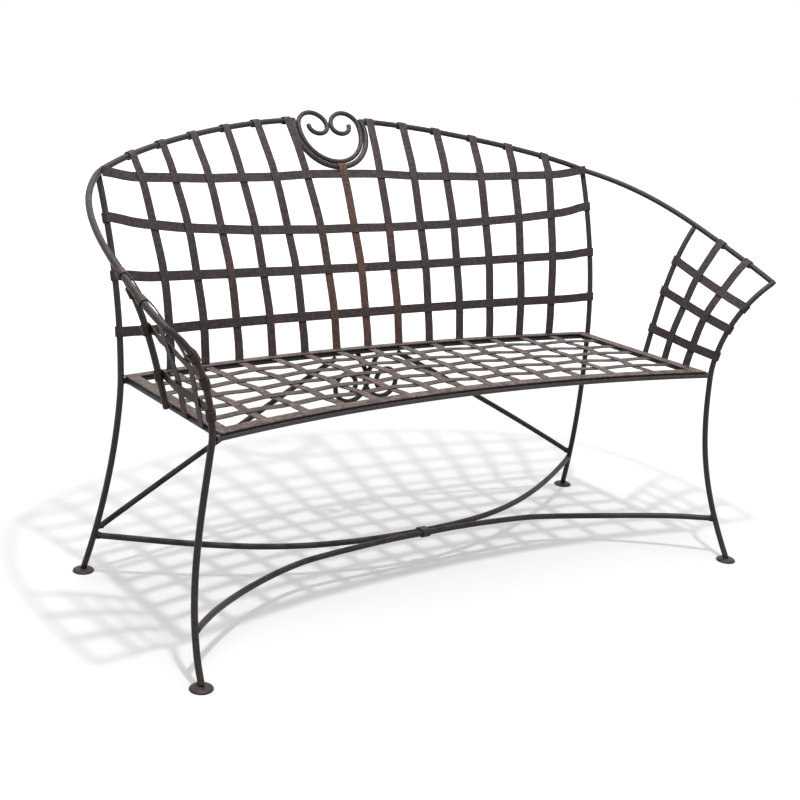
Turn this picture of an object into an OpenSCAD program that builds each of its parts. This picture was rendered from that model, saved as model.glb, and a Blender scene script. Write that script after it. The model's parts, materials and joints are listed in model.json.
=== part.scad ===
/* [Bar and strap] */
// Diameter of the round bar of the frame, half an inch
bar_d = 12.7; // [10:0.1:14]
// Diameter of the bar of the scrolls
scroll_d = 11; // [8:0.5:13]
// Diameter of the two long braces under the seat
brace_d = 12; // [8:0.5:13]
// Width of every woven strap
strap_w = 20; // [16:1:24]
// Thickness of every woven strap
strap_t = 2; // [1.5:0.5:4]

/* [Seat] */
// Height of the top of the seat's flat frame above the ground, at the rear
seat_h = 433.5; // [400:0.5:470]
// How much the seat rises toward the front, in degrees
seat_tilt = 0.5; // [0:0.1:3]
// Length of the seat between the centres of its side bars
seat_w = 1205; // [1100:1:1240]
// Depth of the seat at its middle, between the centres of its bars
seat_d = 377; // [340:1:420]
// How far the front bar curves back from its ends
front_bow = 79; // [40:0.5:100]
// How far the rear bar curves back from its ends
rear_bow = 53.5; // [30:0.5:80]
// Width of the flat frame that lies over the front and side bars
flat_w = 27; // [20:1:32]
// Width of the flat that lies over the rear bar
rear_flat_w = 20; // [18:1:28]
// Thickness of the flat frame
flat_t = 3; // [2.5:0.5:5]
// Spacing of the straps along the rear bar
pitch = 84; // [76:0.5:88]
// Spacing of the middle straps along the front bar
front_pitch = 70.5; // [64:0.5:76]

/* [Back and arms] */
// Height of the top rail's middle line above the ground, at its crest corners
crest_h = 908.5; // [860:0.5:960]
// Half the width between the two crest corners
crest_x = 91; // [85:0.5:105]
// Fall of the top rail from its crest to the back posts
rail_fall = 88; // [60:1:120]
// Half the width between the tops of the back posts
post_x = 631; // [600:1:660]
// Lean of the back at its middle, just above the seat, in degrees
back_lean = 11.3; // [6:0.1:16]
// How much further back the curl takes the crest at its middle
back_curl = 122; // [90:1:150]
// How far the foot of the back curves forward from its middle to the rear legs
back_bow = 60.5; // [40:0.5:80]
// Turn of each strap's plane against the next one's, in degrees
fan = 2.9; // [1:0.1:4]
// Half the width over the arm rails, centre to centre
arm_x = 743; // [700:1:770]
// Distance of the arm tips in front of the middle of the feet
arm_tip_y = 240; // [210:1:270]
// Height of the arm tips
arm_tip_h = 642; // [600:1:680]
// Distance of the arms' rear posts behind the middle of the feet
arm_post_y = 10; // [0:1:30]

/* [Legs] */
// Diameter of the four round feet
foot_d = 44; // [36:1:52]
// Height of the four round feet
foot_h = 7; // [5:0.5:10]
// Half the width between the front feet
front_foot_x = 671; // [640:1:690]
// Half the width between the rear feet
rear_foot_x = 662; // [640:1:690]
// Distance of front and rear feet from the line midway between them
foot_y = 279; // [250:1:300]
// How far outside the side bars' centres the front legs meet the seat
front_leg_out = 22; // [14:0.5:40]
// How far outside the side bars' centres the rear legs meet the seat
rear_leg_out = 16; // [14:0.5:40]
// Height of the stretchers where they cross
stretcher_z = 80; // [70:1:95]
// Height of the braces' lower ends
brace_z = 100; // [94:1:125]

/* [Hidden] */
// Gap left between pieces that are welded or laid together
gap = 0.3;
sides = 8;
bar_r = bar_d / 2;
scroll_r = scroll_d / 2;
brace_r = brace_d / 2;
// A swept bar's corners stand out a little, so that its section area is the round bar's
swell = sqrt(2 * PI / sides / sin(360 / sides));
bar_out = bar_r * swell;
scroll_out = scroll_r * swell;
// Distance from a bar's centre to the middle of a strap laid on it
lap = bar_out + gap + strap_t / 2;
straps = 6;
levels = 4;
rows = 6;
side_x = seat_w / 2;
front_leg_x = side_x + front_leg_out;
rear_leg_x = side_x + rear_leg_out;
bar_z = seat_h - flat_t - gap - bar_out;
rear_y0 = 259;
front_y0 = rear_y0 - seat_d;
function bow_radius(x, bow) = (x * x + bow * bow) / (2 * bow);
front_R = bow_radius(front_leg_x, front_bow);
rear_R = bow_radius(rear_leg_x, rear_bow);
back_R = bow_radius(rear_leg_x, back_bow);
front_c = front_y0 - front_R;
rear_c = rear_y0 - rear_R;
// The bars end against the legs, which stand on the same arcs
function end_turn(x, R) = asin(x / R) - (bar_out + gap) / R * 180 / PI;
front_turn = end_turn(front_leg_x, front_R);
rear_turn = end_turn(rear_leg_x, rear_R);
leg_yf = front_c + sqrt(front_R * front_R - front_leg_x * front_leg_x);
leg_yr = rear_c + sqrt(rear_R * rear_R - rear_leg_x * rear_leg_x);
back_h = crest_h + 4 - seat_h;
// Half the width at which the back no longer leans at its foot
lean_x = 530;
// How much further back the curl takes the crest there than at its middle
side_curl = 44;
weave = (strap_t + gap) / 2;
// The arms' faces are curved both ways, so their straps pass a little further apart
arm_weave = strap_t / 2 + 1.5 * gap;

// Vectors and paths
function unit(v) = v / norm(v);
function mix(a, b, t) = a + (b - a) * t;
function flat_to(v, axis) = unit(v - axis * (v * axis));
function ahead(p, i) = unit(p[min(i + 1, len(p) - 1)] - p[max(i - 1, 0)]);
function flip(p) = [for (i = [len(p) - 1:-1:0]) p[i]];
function plateau(c) = min(1, max(-1, 1.3 * c));
// How far a strap has left its own curve to lie on a bar: from 0 to 1 as t does
function ease(t) = let (q = min(1, max(0, t))) q * q * (3 - 2 * q);
function mirrored(p) = [-p[0], p[1], p[2]];

// A ring of a bar, cut square to the path or in a given plane
function ring(p, t, side, r, cut) =
    let (a = flat_to(side, t), b = cross(t, a))
    [for (k = [0:sides - 1])
        let (q = r * (cos(360 * k / sides) * a + sin(360 * k / sides) * b))
        p + q - t * ((q * cut) / (t * cut))];

function skin(rings, n) =
    [for (i = [0:rings - 2], k = [0:n - 1])
        each [[i * n + k, (i + 1) * n + k, (i + 1) * n + (k + 1) % n],
              [i * n + k, (i + 1) * n + (k + 1) % n, i * n + (k + 1) % n]]];

// A round bar along a path, its ends cut in the planes start and finish
module bar(path, r, side, start = undef, finish = undef) {
    last = len(path) - 1;
    rings = [for (i = [0:last])
        let (t = ahead(path, i))
        ring(path[i], t, side, r * swell,
            i == 0 && !is_undef(start) ? start : i == last && !is_undef(finish) ? finish : t)];
    polyhedron([for (q = rings) each q],
        concat(skin(last + 1, sides),
            [[for (k = [0:sides - 1]) k]],
            [[for (k = [sides - 1:-1:0]) last * sides + k]]));
}

// A flat strap through sections of middle, face direction and width direction
module strap(sections) {
    last = len(sections) - 1;
    turned = (sections[1][0] - sections[0][0]) * cross(sections[0][1], sections[0][2]) > 0;
    corners = [for (s = sections)
        let (n = s[1] * strap_t / 2, w = s[2] * strap_w / 2)
        each (turned ? [s[0] + n + w, s[0] - n + w, s[0] - n - w, s[0] + n - w]
                     : [s[0] + n + w, s[0] + n - w, s[0] - n - w, s[0] - n + w])];
    polyhedron(corners,
        concat(skin(last + 1, 4), [[0, 1, 2, 3]], [[4 * last + 3, 4 * last + 2, 4 * last + 1, 4 * last]]));
}

// Sections of a strap's end that goes round a bar
function wrapped(middle, face, onward, axis, angle = 250, steps = 9, out_by = lap) =
    let (n = flat_to(face, axis), d = flat_to(onward - n * (onward * n), axis))
    [for (k = [0:steps])
        let (a = angle * k / steps, out = cos(a) * n + sin(a) * d)
        [middle + out * out_by, out, axis]];

// Seat
function front_y(x, in = 0) = front_c + sqrt(pow(front_R + in, 2) - x * x);
function rear_y(x, in = 0) = rear_c + sqrt(pow(rear_R - in, 2) - x * x);
// How much higher the tilted seat is at y than at the middle of the rear bar
function rise_at(y) = (rear_y0 - y) * tan(seat_tilt);
function strap_front_x(i) = front_pitch * i + 0.32 * pow(i, 3);
function strap_rear_x(i) = pitch * i;
// The straps end under the flat frame, against the bars
strap_z = seat_h - flat_t - gap - strap_t / 2;

module to_origin() translate([0, -middle_y, 0]) children();
// Turns the seat, which is drawn level, about the middle of the rear bar
module seated() to_origin()
    translate([0, rear_y0, bar_z]) rotate([-seat_tilt, 0, 0]) translate([0, -rear_y0, -bar_z]) children();

module arc_bar(centre, R, turn) {
    translate([0, centre, bar_z])
        rotate([0, 0, 90 - turn])
            rotate_extrude(angle = 2 * turn, $fn = 240)
                translate([R, 0]) circle(d = bar_d, $fn = 24);
}
module front_bar() color("#3a3230") seated() arc_bar(front_c, front_R, front_turn);
module rear_bar() color("#332c2b") seated() arc_bar(rear_c, rear_R, rear_turn);

// A side bar butts between the front and the rear bar
module side_bar(side) {
    butt = bar_r + gap;
    front_a = asin(side_x / (front_R + butt));
    rear_a = asin(side_x / (rear_R - butt));
    color("#3a3230") seated() bar(
        [[side * side_x, front_y(side_x, butt), bar_z], [side * side_x, rear_y(side_x, butt), bar_z]],
        bar_r, [0, 0, 1], [side * sin(front_a), cos(front_a), 0], [side * sin(rear_a), cos(rear_a), 0]);
}

module seat_flat(points) {
    translate([0, 0, seat_h - flat_t]) linear_extrude(flat_t) polygon(points);
}
// The flats' outer edges are flush with the bars' outer sides
outer_x = side_x + bar_r;
inner_x = outer_x - flat_w;
front_in = flat_w - bar_r;
rear_in = rear_flat_w - bar_r;
// Free gap between neighbouring pieces of the flat frame
mitre = 0.2;
flat_steps = 40;
function across(x, k) = x * (2 * k / flat_steps - 1);
module front_flat() color("#4b413e") seated() seat_flat(concat(
    [for (k = [0:flat_steps]) let (x = across(outer_x, k)) [x, front_y(x, -bar_r)]],
    [for (k = [0:flat_steps]) let (x = -across(outer_x, k)) [x, front_y(x, front_in)]]));
module rear_flat() color("#4b413e") seated() seat_flat(concat(
    [for (k = [0:flat_steps]) let (x = across(outer_x, k)) [x, rear_y(x, rear_in)]],
    [for (k = [0:flat_steps]) let (x = -across(outer_x, k)) [x, rear_y(x, -bar_r)]]));
module side_flat(side) color("#4b413e") seated() seat_flat([
    [side * outer_x, front_y(outer_x, front_in) + mitre], [side * outer_x, rear_y(outer_x, rear_in) - mitre],
    [side * inner_x, rear_y(inner_x, rear_in) - mitre], [side * inner_x, front_y(inner_x, front_in) + mitre]]);

// The space between the bars, which the seat straps fill
module seat_inside() {
    butt = bar_out + gap;
    front = [for (k = [0:flat_steps]) let (x = across(side_x - butt, k)) [x, front_y(x, butt)]];
    rear = [for (k = [0:flat_steps]) let (x = -across(side_x - butt, k)) [x, rear_y(x, butt)]];
    translate([0, 0, strap_z - 20]) linear_extrude(40) polygon(concat(front, rear));
}
function strip(p) = concat(
    [for (i = [0:len(p) - 1]) let (t = ahead(p, i)) p[i] + [-t[1], t[0]] * strap_t / 2],
    [for (i = [len(p) - 1:-1:0]) let (t = ahead(p, i)) p[i] - [-t[1], t[0]] * strap_t / 2]);

// A strap from the front bar to the rear bar, woven over and under the long ones
module seat_cross(i) {
    a = [strap_front_x(i), front_y(strap_front_x(i), front_in)];
    b = [strap_rear_x(i), rear_y(strap_rear_x(i), rear_in)];
    run = norm(b - a);
    steps = 8 * rows;
    wave = [for (k = [-4:steps + 4])
        let (v = k * rows / steps, on = v > 0.5 && v < rows - 0.5)
        [run * v / rows, on ? weave * plateau(cos(180 * (v - i))) : 0]];
    intersection() {
        translate([a[0], a[1], strap_z])
            rotate([90, 0, atan2(b[1] - a[1], b[0] - a[0])])
                translate([0, 0, -strap_w / 2])
                    linear_extrude(strap_w) polygon(strip(wave));
        seat_inside();
    }
}
function long_x(u, f) = mix(strap_front_x(u), strap_rear_x(u), f);
function long_y(x, f) = mix(front_y(x, front_in), rear_y(x, rear_in), f);

// A strap from side to side, bowed like the front and rear bars
module seat_long(m) {
    f = m / rows;
    steps = 8;
    wave = [for (k = [-7 * steps:7 * steps])
        let (u = k / steps, on = abs(u) < straps + 0.5)
        [long_x(u, f), strap_z - (on ? weave * plateau(cos(180 * (u - m))) : 0)]];
    band = [for (k = [0:flat_steps]) let (x = across(outer_x, k)) [x, long_y(min(inner_x, abs(x)), f)]];
    width = [0, strap_w / 2];
    color("#463d3a") seated() intersection() {
        translate([0, rear_y0, 0]) rotate([90, 0, 0]) linear_extrude(2 * seat_d) polygon(strip(wave));
        translate([0, 0, strap_z - 15]) linear_extrude(30)
            polygon(concat([for (p = band) p + width], [for (p = flip(band)) p - width]));
        seat_inside();
    }
}

// Back: the curved face that its woven straps follow
function lean_at(x) = tan(back_lean) * (1 - pow(x / lean_x, 2));
function curl_at(x) = (back_curl + side_curl * pow(x / lean_x, 2)) / pow(back_h, 2);
function foot_of(x) = rear_y0 + 2 - back_R + sqrt(back_R * back_R - x * x);
function back_y(x, z) = let (h = z - seat_h) foot_of(x) + lean_at(x) * h + curl_at(x) * h * h;
function back_at(x, z) = [x, back_y(x, z), z];
function back_face(x, z) = let (h = z - seat_h) unit([
    -x / sqrt(back_R * back_R - x * x)
        + 2 * x / pow(lean_x, 2) * (side_curl * pow(h / back_h, 2) - tan(back_lean) * h),
    -1,
    lean_at(x) + 2 * curl_at(x) * h]);

// Heights of the four level straps at the middle, lowest first, and how much their ends rise
level_h = [0.154, 0.354, 0.527, 0.754];
level_rise = [15, 26, 50, 23];
level_bend = [1.8, 2, 2.4, 3.5];
// The top one is also raised a little over its middle, under the crest
hump_h = 5.5;
hump_x = 275;
function hump(x) = hump_h * (1 + cos(180 * min(1, abs(x) / hump_x))) / 2;
function level_z(m, x) = seat_h + level_h[m - 1] * back_h
    + level_rise[m - 1] * pow(abs(x) / post_x, level_bend[m - 1]) + (m == levels ? hump(x) : 0);

// Where the plane of upright strap u meets the back at a height, found step by step
// Two straps on each side of the crest lean further outward near their tops
spread = 17;
back_reach = tan(back_lean) * back_h + back_curl;
function outward(u) = let (a = abs(u)) sign(u) * spread * (a < 1 ? a : max(0, (3 - a) / 2));
function fan_x(u, y) = let (d = y - foot_of(pitch * u))
    pitch * u + tan(fan * u) * d + outward(u) * pow(max(0, d) / back_reach, 2);
function upright_x(u, z, x = 0, n = 5) = n == 0 ? x : upright_x(u, z, fan_x(u, back_y(x, z)), n - 1);
function crossing_x(u, m, x = 0, n = 5) =
    n == 0 ? x : crossing_x(u, m, fan_x(u, back_y(x, level_z(m, x))), n - 1);

// Top rail
// The rail falls slowly at first and steeply near the post, a little behind the straps' curve
function rail_z(x) = let (q = (x - crest_x) / (post_x - crest_x))
    crest_h - rail_fall * (0.875 * pow(max(0, q), 1.5) + 0.125 * pow(q, 8));
rail_behind = 15;
rail_behind_post = 9;
function rail_back(x) = [x, back_y(x, rail_z(x)) + mix(rail_behind, rail_behind_post, pow(x / post_x, 6)), rail_z(x)];
function rail_top_x(u, x = 0, n = 5) = n == 0 ? x : rail_top_x(u, fan_x(u, back_y(x, rail_z(x))), n - 1);
post_top = rail_back(post_x);
rail_flat_y = -150;
// How far the arm turns in again at its tip, and how far it arches up between its ends
tip_in = 6;
arm_crown = 6;
function arm_rail(y) =
    let (t = (y + arm_tip_y) / (post_top[1] + arm_tip_y),
        s = max(0, (y - rail_flat_y) / (post_top[1] - rail_flat_y)))
    [arm_x - (arm_x - post_x) * pow(s, 3.1) - tip_in * pow(max(0, rail_flat_y - y) / (arm_tip_y + rail_flat_y), 2),
     y, mix(arm_tip_h, post_top[2], t) + arm_crown * sin(180 * t * t)];
arm_steps = 16;
back_steps = 14;
rail_path = concat(
    [for (k = [0:arm_steps]) arm_rail(mix(-arm_tip_y, post_top[1], k / arm_steps))],
    [for (k = [1:back_steps]) rail_back(mix(post_x, crest_x, k / back_steps))]);
rail_last = len(rail_path) - 1;
rail_start_dir = unit(rail_path[1] - rail_path[0]);
rail_end_dir = unit(rail_path[rail_last] - rail_path[rail_last - 1]);

// Back posts and legs, right side
// The post runs up behind the rail's middle line
post_behind = 9;
function post_at(z) = let (h = (z - bar_z) / (post_top[2] - bar_z))
    [rear_leg_x + (post_x - rear_leg_x) * h * h,
     mix(leg_yr, post_top[1] + post_behind, h * (0.1 + 0.9 * h)), z];
front_z = bar_z + rise_at(leg_yf);
rear_z = bar_z + rise_at(leg_yr);
front_foot = [front_foot_x, -foot_y];
rear_foot = [rear_foot_x, foot_y];
front_belly = 7.5;
function front_leg_at(z) = let (h = (z - foot_h) / (front_z - foot_h), t = 1 - h)
    [mix(front_foot_x, front_leg_x, pow(h, 1.35 - 0.7 * h)),
     mix(leg_yf, -foot_y, pow(t, 3)) + front_belly * sin(180 * t), z];
function rear_leg_at(z) = let (t = (rear_z - z) / (rear_z - foot_h))
    [mix(rear_leg_x, rear_foot_x, pow(t, 1.5)), mix(leg_yr, foot_y, pow(t, 1.9)), z];

// Arms, right side: s runs from the rear post to the front post, t from the seat up to the rail
arm_bottom_x = side_x + 2 * bar_out + gap;
arm_seat_y = 3;
// The straps between the posts start closer to the side bar than the posts do
arm_dip = 5.5;
function arm_bottom(s) = let (y = mix(arm_seat_y, leg_yf, s))
    [mix(arm_bottom_x, front_leg_x, pow(s, 5)) - arm_dip * 4 * s * (1 - s), y, bar_z + rise_at(y)];
function arm_top(s) = arm_rail(mix(arm_post_y, -arm_tip_y, s));
// How far the arm has flared at height t, at its rear post and at its front post
function rear_flare(t) = 0.62 * t + 0.38 * pow(t, 3.6);
function front_flare(t) = pow(t, 1.7 + t);
function arm_at(s, t) = let (a = arm_bottom(s), b = arm_top(s), q = max(0, t))
    [mix(a[0], b[0], mix(rear_flare(q), front_flare(q), s)), mix(a[1], b[1], pow(q, 1 + 0.8 * s)),
     mix(a[2], b[2], t)];
// Direction out of the arm's face, and the two directions along it
function arm_up(s, t) = unit(arm_at(s, t + 0.01) - arm_at(s, t - 0.01));
function arm_along(s, t) = unit(arm_at(s + 0.01, t) - arm_at(s - 0.01, t));
function arm_face(s, t) = unit(cross(arm_up(s, t), arm_along(s, t)));
arm_rows = [0.21, 0.5, 0.73];
// The posts bend, so the cross straps lie a little off their middle lines
arm_lap = lap + gap;

leg_steps = 12;
post_steps = 12;
front_leg_path = concat(
    [for (k = [0:leg_steps]) front_leg_at(mix(foot_h, front_z, k / leg_steps))],
    [for (k = [1:post_steps]) arm_at(1, k / post_steps)]);
tip_in_dir = unit(arm_at(1, 1) - arm_at(1, 0.98));
tip_cut = unit(tip_in_dir + rail_start_dir);
weld_up = post_top[2] - bar_d * 0.85;
rear_leg_path = concat(
    [for (k = [0:leg_steps]) rear_leg_at(mix(foot_h, rear_z, k / leg_steps))],
    [for (k = [1:post_steps]) post_at(mix(rear_z, weld_up, k / post_steps))]);

module both(side) {
    if (side > 0) children();
    else mirror([1, 0, 0]) children();
}
module front_leg(side) color("#3d3431") to_origin() both(side)
    bar(front_leg_path, bar_r, [1, 0, 0], [0, 0, 1], tip_cut);
module rear_leg(side) color("#3d3431") to_origin() both(side)
    bar(rear_leg_path, bar_r, [1, 0, 0], [0, 0, 1]);
module foot(side, at) {
    color("#39302e") to_origin() translate([side * at[0], at[1], 0])
        rotate_extrude($fn = 48) polygon(concat(
            [[0, 0], [foot_d / 2 - 1, 0], [foot_d / 2, 1]],
            [for (k = [1:8]) let (a = 90 * k / 8)
                [bar_r + 3 + (foot_d / 2 - bar_r - 3) * cos(a), 1 + (foot_h - 1.05) * sin(a)]],
            [[0, foot_h - 0.05]]));
}

// Crest: the loop hangs from the rail's two corners down to the middle strap
crest_corner = rail_back(crest_x);
crest_top = [0, crest_corner[1], crest_corner[2]];
loop_z = level_z(levels, 0) + strap_w / 2 + bar_r;
crest_bottom = back_at(0, loop_z) - (lap - weave) * back_face(0, loop_z);
crest_up = unit(crest_top - crest_bottom);
crest_len = norm(crest_top - crest_bottom);
loop_r = (crest_x * crest_x + crest_len * crest_len) / (2 * crest_len);
function on_crest(x, v) = [x, crest_bottom[1] + crest_up[1] * v, crest_bottom[2] + crest_up[2] * v];
corner_a = asin((crest_len - loop_r) / loop_r);
loop_steps = 22;
loop_cut_a = gap / 2 / loop_r * 180 / PI;
loop_path = [for (k = [0:loop_steps])
    let (a = mix(180 - corner_a + loop_cut_a, 360 + corner_a - loop_cut_a, k / loop_steps))
    on_crest(loop_r * cos(a), loop_r + loop_r * sin(a))];
module crest_loop() color("#3a312f") to_origin()
    bar(loop_path, bar_r, crest_face, loop_cut_left, loop_cut_right);
crest_face = cross([1, 0, 0], crest_up);
// The plane that halves the corner between the right rail and the loop
right_in_dir = unit(loop_path[loop_steps - 1] - loop_path[loop_steps]);
loop_cut_right = unit(right_in_dir + rail_end_dir);
loop_cut_left = mirrored(loop_cut_right);
module top_rail(side) color("#3d3431") to_origin() both(side)
    bar(rail_path, bar_r, [0, -1, 1], tip_cut, loop_cut_right);

// The scroll: a wide arc in the loop, two lobes that meet, two inward curls
scroll_off = bar_out + scroll_out + 2.5 * gap;
scroll_R = loop_r - scroll_off;
// Height of the lobes' middle above the loop's, and of the place where they meet above that
lobe_up = 6.3;
meet_up = 3.7;
lobe_v = loop_r + lobe_up;
meet_v = lobe_v + meet_up;
lobe_in = scroll_out + gap / 2;
lobe_r = (scroll_R - lobe_in) / 2;
curl_r = 24;
curl_tall = 19.5;
function on_oval(x, v, rx, rv, a) = on_crest(x + rx * cos(a), v + rv * sin(a));
scroll_right = concat(
    [for (k = [1:9]) on_oval(0, loop_r, scroll_R, scroll_R, -90 + 10 * k)],
    [for (k = [0:5]) on_oval(lobe_in + lobe_r, lobe_v, lobe_r, lobe_r, 15 * k)],
    [for (k = [6:12]) on_oval(lobe_in + lobe_r, meet_v, lobe_r, lobe_r - meet_up, 15 * k)],
    [for (k = [1:10]) on_oval(lobe_in + curl_r, meet_v, curl_r, curl_tall, 180 + 19 * k)]);
scroll_path = concat(
    [for (p = flip(scroll_right)) mirrored(p)],
    [on_oval(0, loop_r, scroll_R, scroll_R, -90)],
    scroll_right);
module crest_scroll() color("#2f2928") to_origin() bar(scroll_path, scroll_r, crest_face);

// Upright straps of the back, from the rear bar up and over the top rail
function upright_top(i) = i == 0
    ? [crest_bottom, [1, 0, 0]]
    : let (x = abs(rail_top_x(i)), a = rail_back(x - 1), b = rail_back(x + 1), t = unit(b - a))
        i > 0 ? [rail_back(x), t] : [mirrored(rail_back(x)), -mirrored(t)];
function upright_z(i, v, top) = let (
        z = concat([seat_h + gap + rise_at(foot_of(pitch * i))], [for (m = [1:levels]) level_z(m, crossing_x(i, m))], [top]),
        k = min(levels, floor(v)))
    mix(z[k], z[k + 1], v - k);
module back_upright(i) {
    end = upright_top(i);
    axis = end[1];
    top_face = flat_to(back_face(end[0][0], end[0][2]), axis);
    goal = end[0] + lap * top_face;
    steps = 4;
    plain = [for (k = [0:(levels + 1) * steps - 1])
        let (v = k / steps, z = upright_z(i, v, goal[2]), x = upright_x(i, z),
            on = v > 0.5 && v < levels + (i == 0 ? 1 : 0.5), pull = ease((v - levels - 0.15) / 0.85),
            rest = back_at(upright_x(i, goal[2]), goal[2]))
        [back_at(x, z) + (goal - rest) * pull
            + back_face(x, z) * (on ? weave * plateau(cos(180 * ((i == 0 ? min(v, levels) : v) - i))) : 0),
         back_face(x, z), pull]];
    line = concat([for (p = plain) p[0]], [goal]);
    body = [for (k = [0:len(plain) - 1])
        let (n = plain[k][1], w = unit(cross(ahead(line, k), n)))
        // The lowest section is level, as the strap stands on the flat
        k == 0 ? [plain[k][0], unit([n[0], n[1], 0]), unit([-n[1], n[0], 0])]
            : [plain[k][0], unit(mix(n, top_face, plain[k][2])), unit(mix(w * sign(w[0]), axis, plain[k][2]))]];
    color("#433935") to_origin()
        strap(concat(body, i == 0 ? wrapped(end[0], top_face, [0, 0.5, 1], axis, 50, 3)
            : wrapped(end[0], top_face, [0, 0.5, 1], axis)));
}

// Level straps of the back, wrapped round the back posts; the top one ends flat on them
function level_at(m, u) = let (a = abs(u), s = sign(u), x6 = crossing_x(straps, m))
    a <= straps ? [s * crossing_x(a, m), level_z(m, crossing_x(a, m))]
        : let (x = mix(x6, post_x, a - straps)) [s * x, level_z(m, x)];
module back_level(m) {
    end_z = level_z(m, post_x);
    top = m == levels;
    centre = top ? post_top : post_at(end_z);
    axis = top ? unit([0, 0.4, 1]) : unit(post_at(end_z + 1) - post_at(end_z - 1));
    face = flat_to(back_face(post_x, end_z), axis);
    goal = centre + lap * face;
    slip = goal - back_at(post_x, end_z);
    steps = 4;
    n = (straps + 1) * steps - 1;
    points = [for (k = [-n:n])
        let (u = k / steps, q = level_at(m, u), on = abs(u) < straps + 0.5,
            pull = ease((abs(u) - straps - 0.25) / 0.75),
            f = back_face(q[0], q[1]), move = u < 0 ? mirrored(slip) : slip)
        [back_at(q[0], q[1]) + move * pull - f * (on ? weave * plateau(cos(180 * (u - m))) : 0), f, pull, u]];
    line = concat([mirrored(goal)], [for (p = points) p[0]], [goal]);
    body = [for (k = [0:len(points) - 1])
        let (p = points[k], f = p[1], w = unit(cross(f, ahead(line, k + 1))),
            a = p[3] < 0 ? mirrored(axis) : axis, e = p[3] < 0 ? mirrored(face) : face)
        [p[0], unit(mix(f, e, p[2])), unit(mix(w * sign(w[2]), a, p[2]))]];
    turn = top ? 0 : 250;
    right = top ? [[goal, face, axis]] : wrapped(centre, face, [1, 0, 0], axis, turn);
    left = [for (s = flip(right)) [mirrored(s[0]), mirrored(s[1]), mirrored(s[2])]];
    color("#433935") to_origin() strap(concat(left, body, right));
}

// Arms
arm_post_steps = 12;
// The post stops under the rail, its end cut along it
rail_dir = unit(arm_rail(arm_post_y + 1) - arm_rail(arm_post_y - 1));
post_rise = arm_at(0, 1) - arm_at(0, 0.9);
post_cut = flat_to(post_rise, rail_dir);
post_end = 1 - 0.1 * (bar_out + gap) / (post_rise * post_cut);
module arm_post(side) color("#3d3431") to_origin() both(side)
    bar([for (k = [0:arm_post_steps]) arm_at(0, post_end * k / arm_post_steps)], bar_r, [0, 1, 0], finish = post_cut);
// An upright strap of an arm, from the side bar up and over the rail
module arm_upright(i) {
    s = i / 3;
    end = arm_top(s);
    axis = unit(arm_rail(end[1] + 1) - arm_rail(end[1] - 1));
    face = flat_to(-arm_face(s, 0.98), axis);
    goal = end + lap * face;
    steps = 16;
    body = [for (k = [0:steps - 1])
        let (t = k / steps, n = -arm_face(s, t), w = arm_along(s, t), pull = ease((t - 0.8) / 0.2), v = arm_phase(t),
            off = v > 0.5 && v < 3.5 ? arm_weave * plateau(cos(180 * (v - i))) : 0)
        [arm_at(s, t) + n * off + (goal - end) * pull, unit(mix(n, face, pull)),
         unit(mix(w * sign(w[1]), axis, pull))]];
    strap(concat(body, wrapped(end, face, [0.6, 0, 1], axis)));
}
// Number of the cross strap at height t: 0 at the seat, 4 at the rail
function arm_phase(t) = let (r = concat([0], arm_rows, [1]), k = t < r[1] ? 0 : t < r[2] ? 1 : t < r[3] ? 2 : 3)
    k + (t - r[k]) / (r[k + 1] - r[k]);
// A cross strap of an arm, wrapped round both posts
module arm_cross(m) {
    t = arm_rows[m - 1];
    steps = 12;
    rear_axis = arm_up(0, t);
    front_axis = arm_up(1, t);
    rear_face = flat_to(-arm_face(0, t), rear_axis);
    front_face = flat_to(-arm_face(1, t), front_axis);
    body = [for (k = [1:steps - 1])
        let (s = k / steps, n = -arm_face(s, t), w = arm_up(s, t), v = 3 * s,
            off = v > 0.5 && v < 2.5 ? -arm_weave * plateau(cos(180 * (v - m))) : 0,
            lift = arm_lap * (ease(1 - 4 * s) + ease(4 * s - 3)))
        [arm_at(s, t) + n * (off + lift), n, w]];
    rear = flip(wrapped(arm_at(0, t), rear_face, [0, 1, 0], rear_axis, out_by = arm_lap));
    front = wrapped(arm_at(1, t), front_face, [0, -1, 0], front_axis, out_by = arm_lap);
    strap(concat(rear, body, front));
}
module arm_uprights(side) color("#433935") to_origin() both(side) {
    arm_upright(1);
    arm_upright(2);
}
module arm_crosses(side) color("#433935") to_origin() both(side) for (m = [1:3]) arm_cross(m);

// Stretchers: two bowed bars that meet at the middle, tied by a collar
side_step = bar_out + gap / 2;
// The bar runs straight past the middle as far as the part level, then bends away to the leg;
// it rises to the leg and sags on its way, its lowest place later on the way if late is over 1
module stretcher(end, way, level, bend, sag, late) {
    steps = 11;
    away = abs(end[1]) - side_step;
    slope = away * bend / (1 - level) / end[0];
    reach = end[0] - (bar_out + 6 * gap) * cos(atan(slope));
    right = [for (k = [0:steps])
        let (x = reach * k / steps, t = x / end[0])
        [x, way * (side_step + away * pow(max(0, t - level) / (1 - level), bend)),
         stretcher_z + (end[2] - stretcher_z) * t - sag * pow(sin(180 * pow(t, late)), 1.5)]];
    path = concat([for (k = [steps:-1:1]) mirrored(right[k])], right);
    color("#352e2c") to_origin() bar(path, bar_r, [0, 0, 1]);
}
front_rise = 9;
front_sag = 18;
rear_rise = 7;
rear_sag = 11.5;
module front_stretcher() stretcher(front_leg_at(stretcher_z + front_rise), -1, 0.4, 1.77, front_sag, 1.4);
module rear_stretcher() stretcher(rear_leg_at(stretcher_z + rear_rise), 1, 0, 1.8, rear_sag, 1);
function arc(c, r, from, to, n) =
    [for (k = [0:n]) let (a = from + (to - from) * k / n) [c[0] + r * cos(a), c[1] + r * sin(a)]];
function stadium(r) = concat(arc([side_step, 0], r, -90, 90, 12), arc([-side_step, 0], r, 90, 270, 12));
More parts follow.
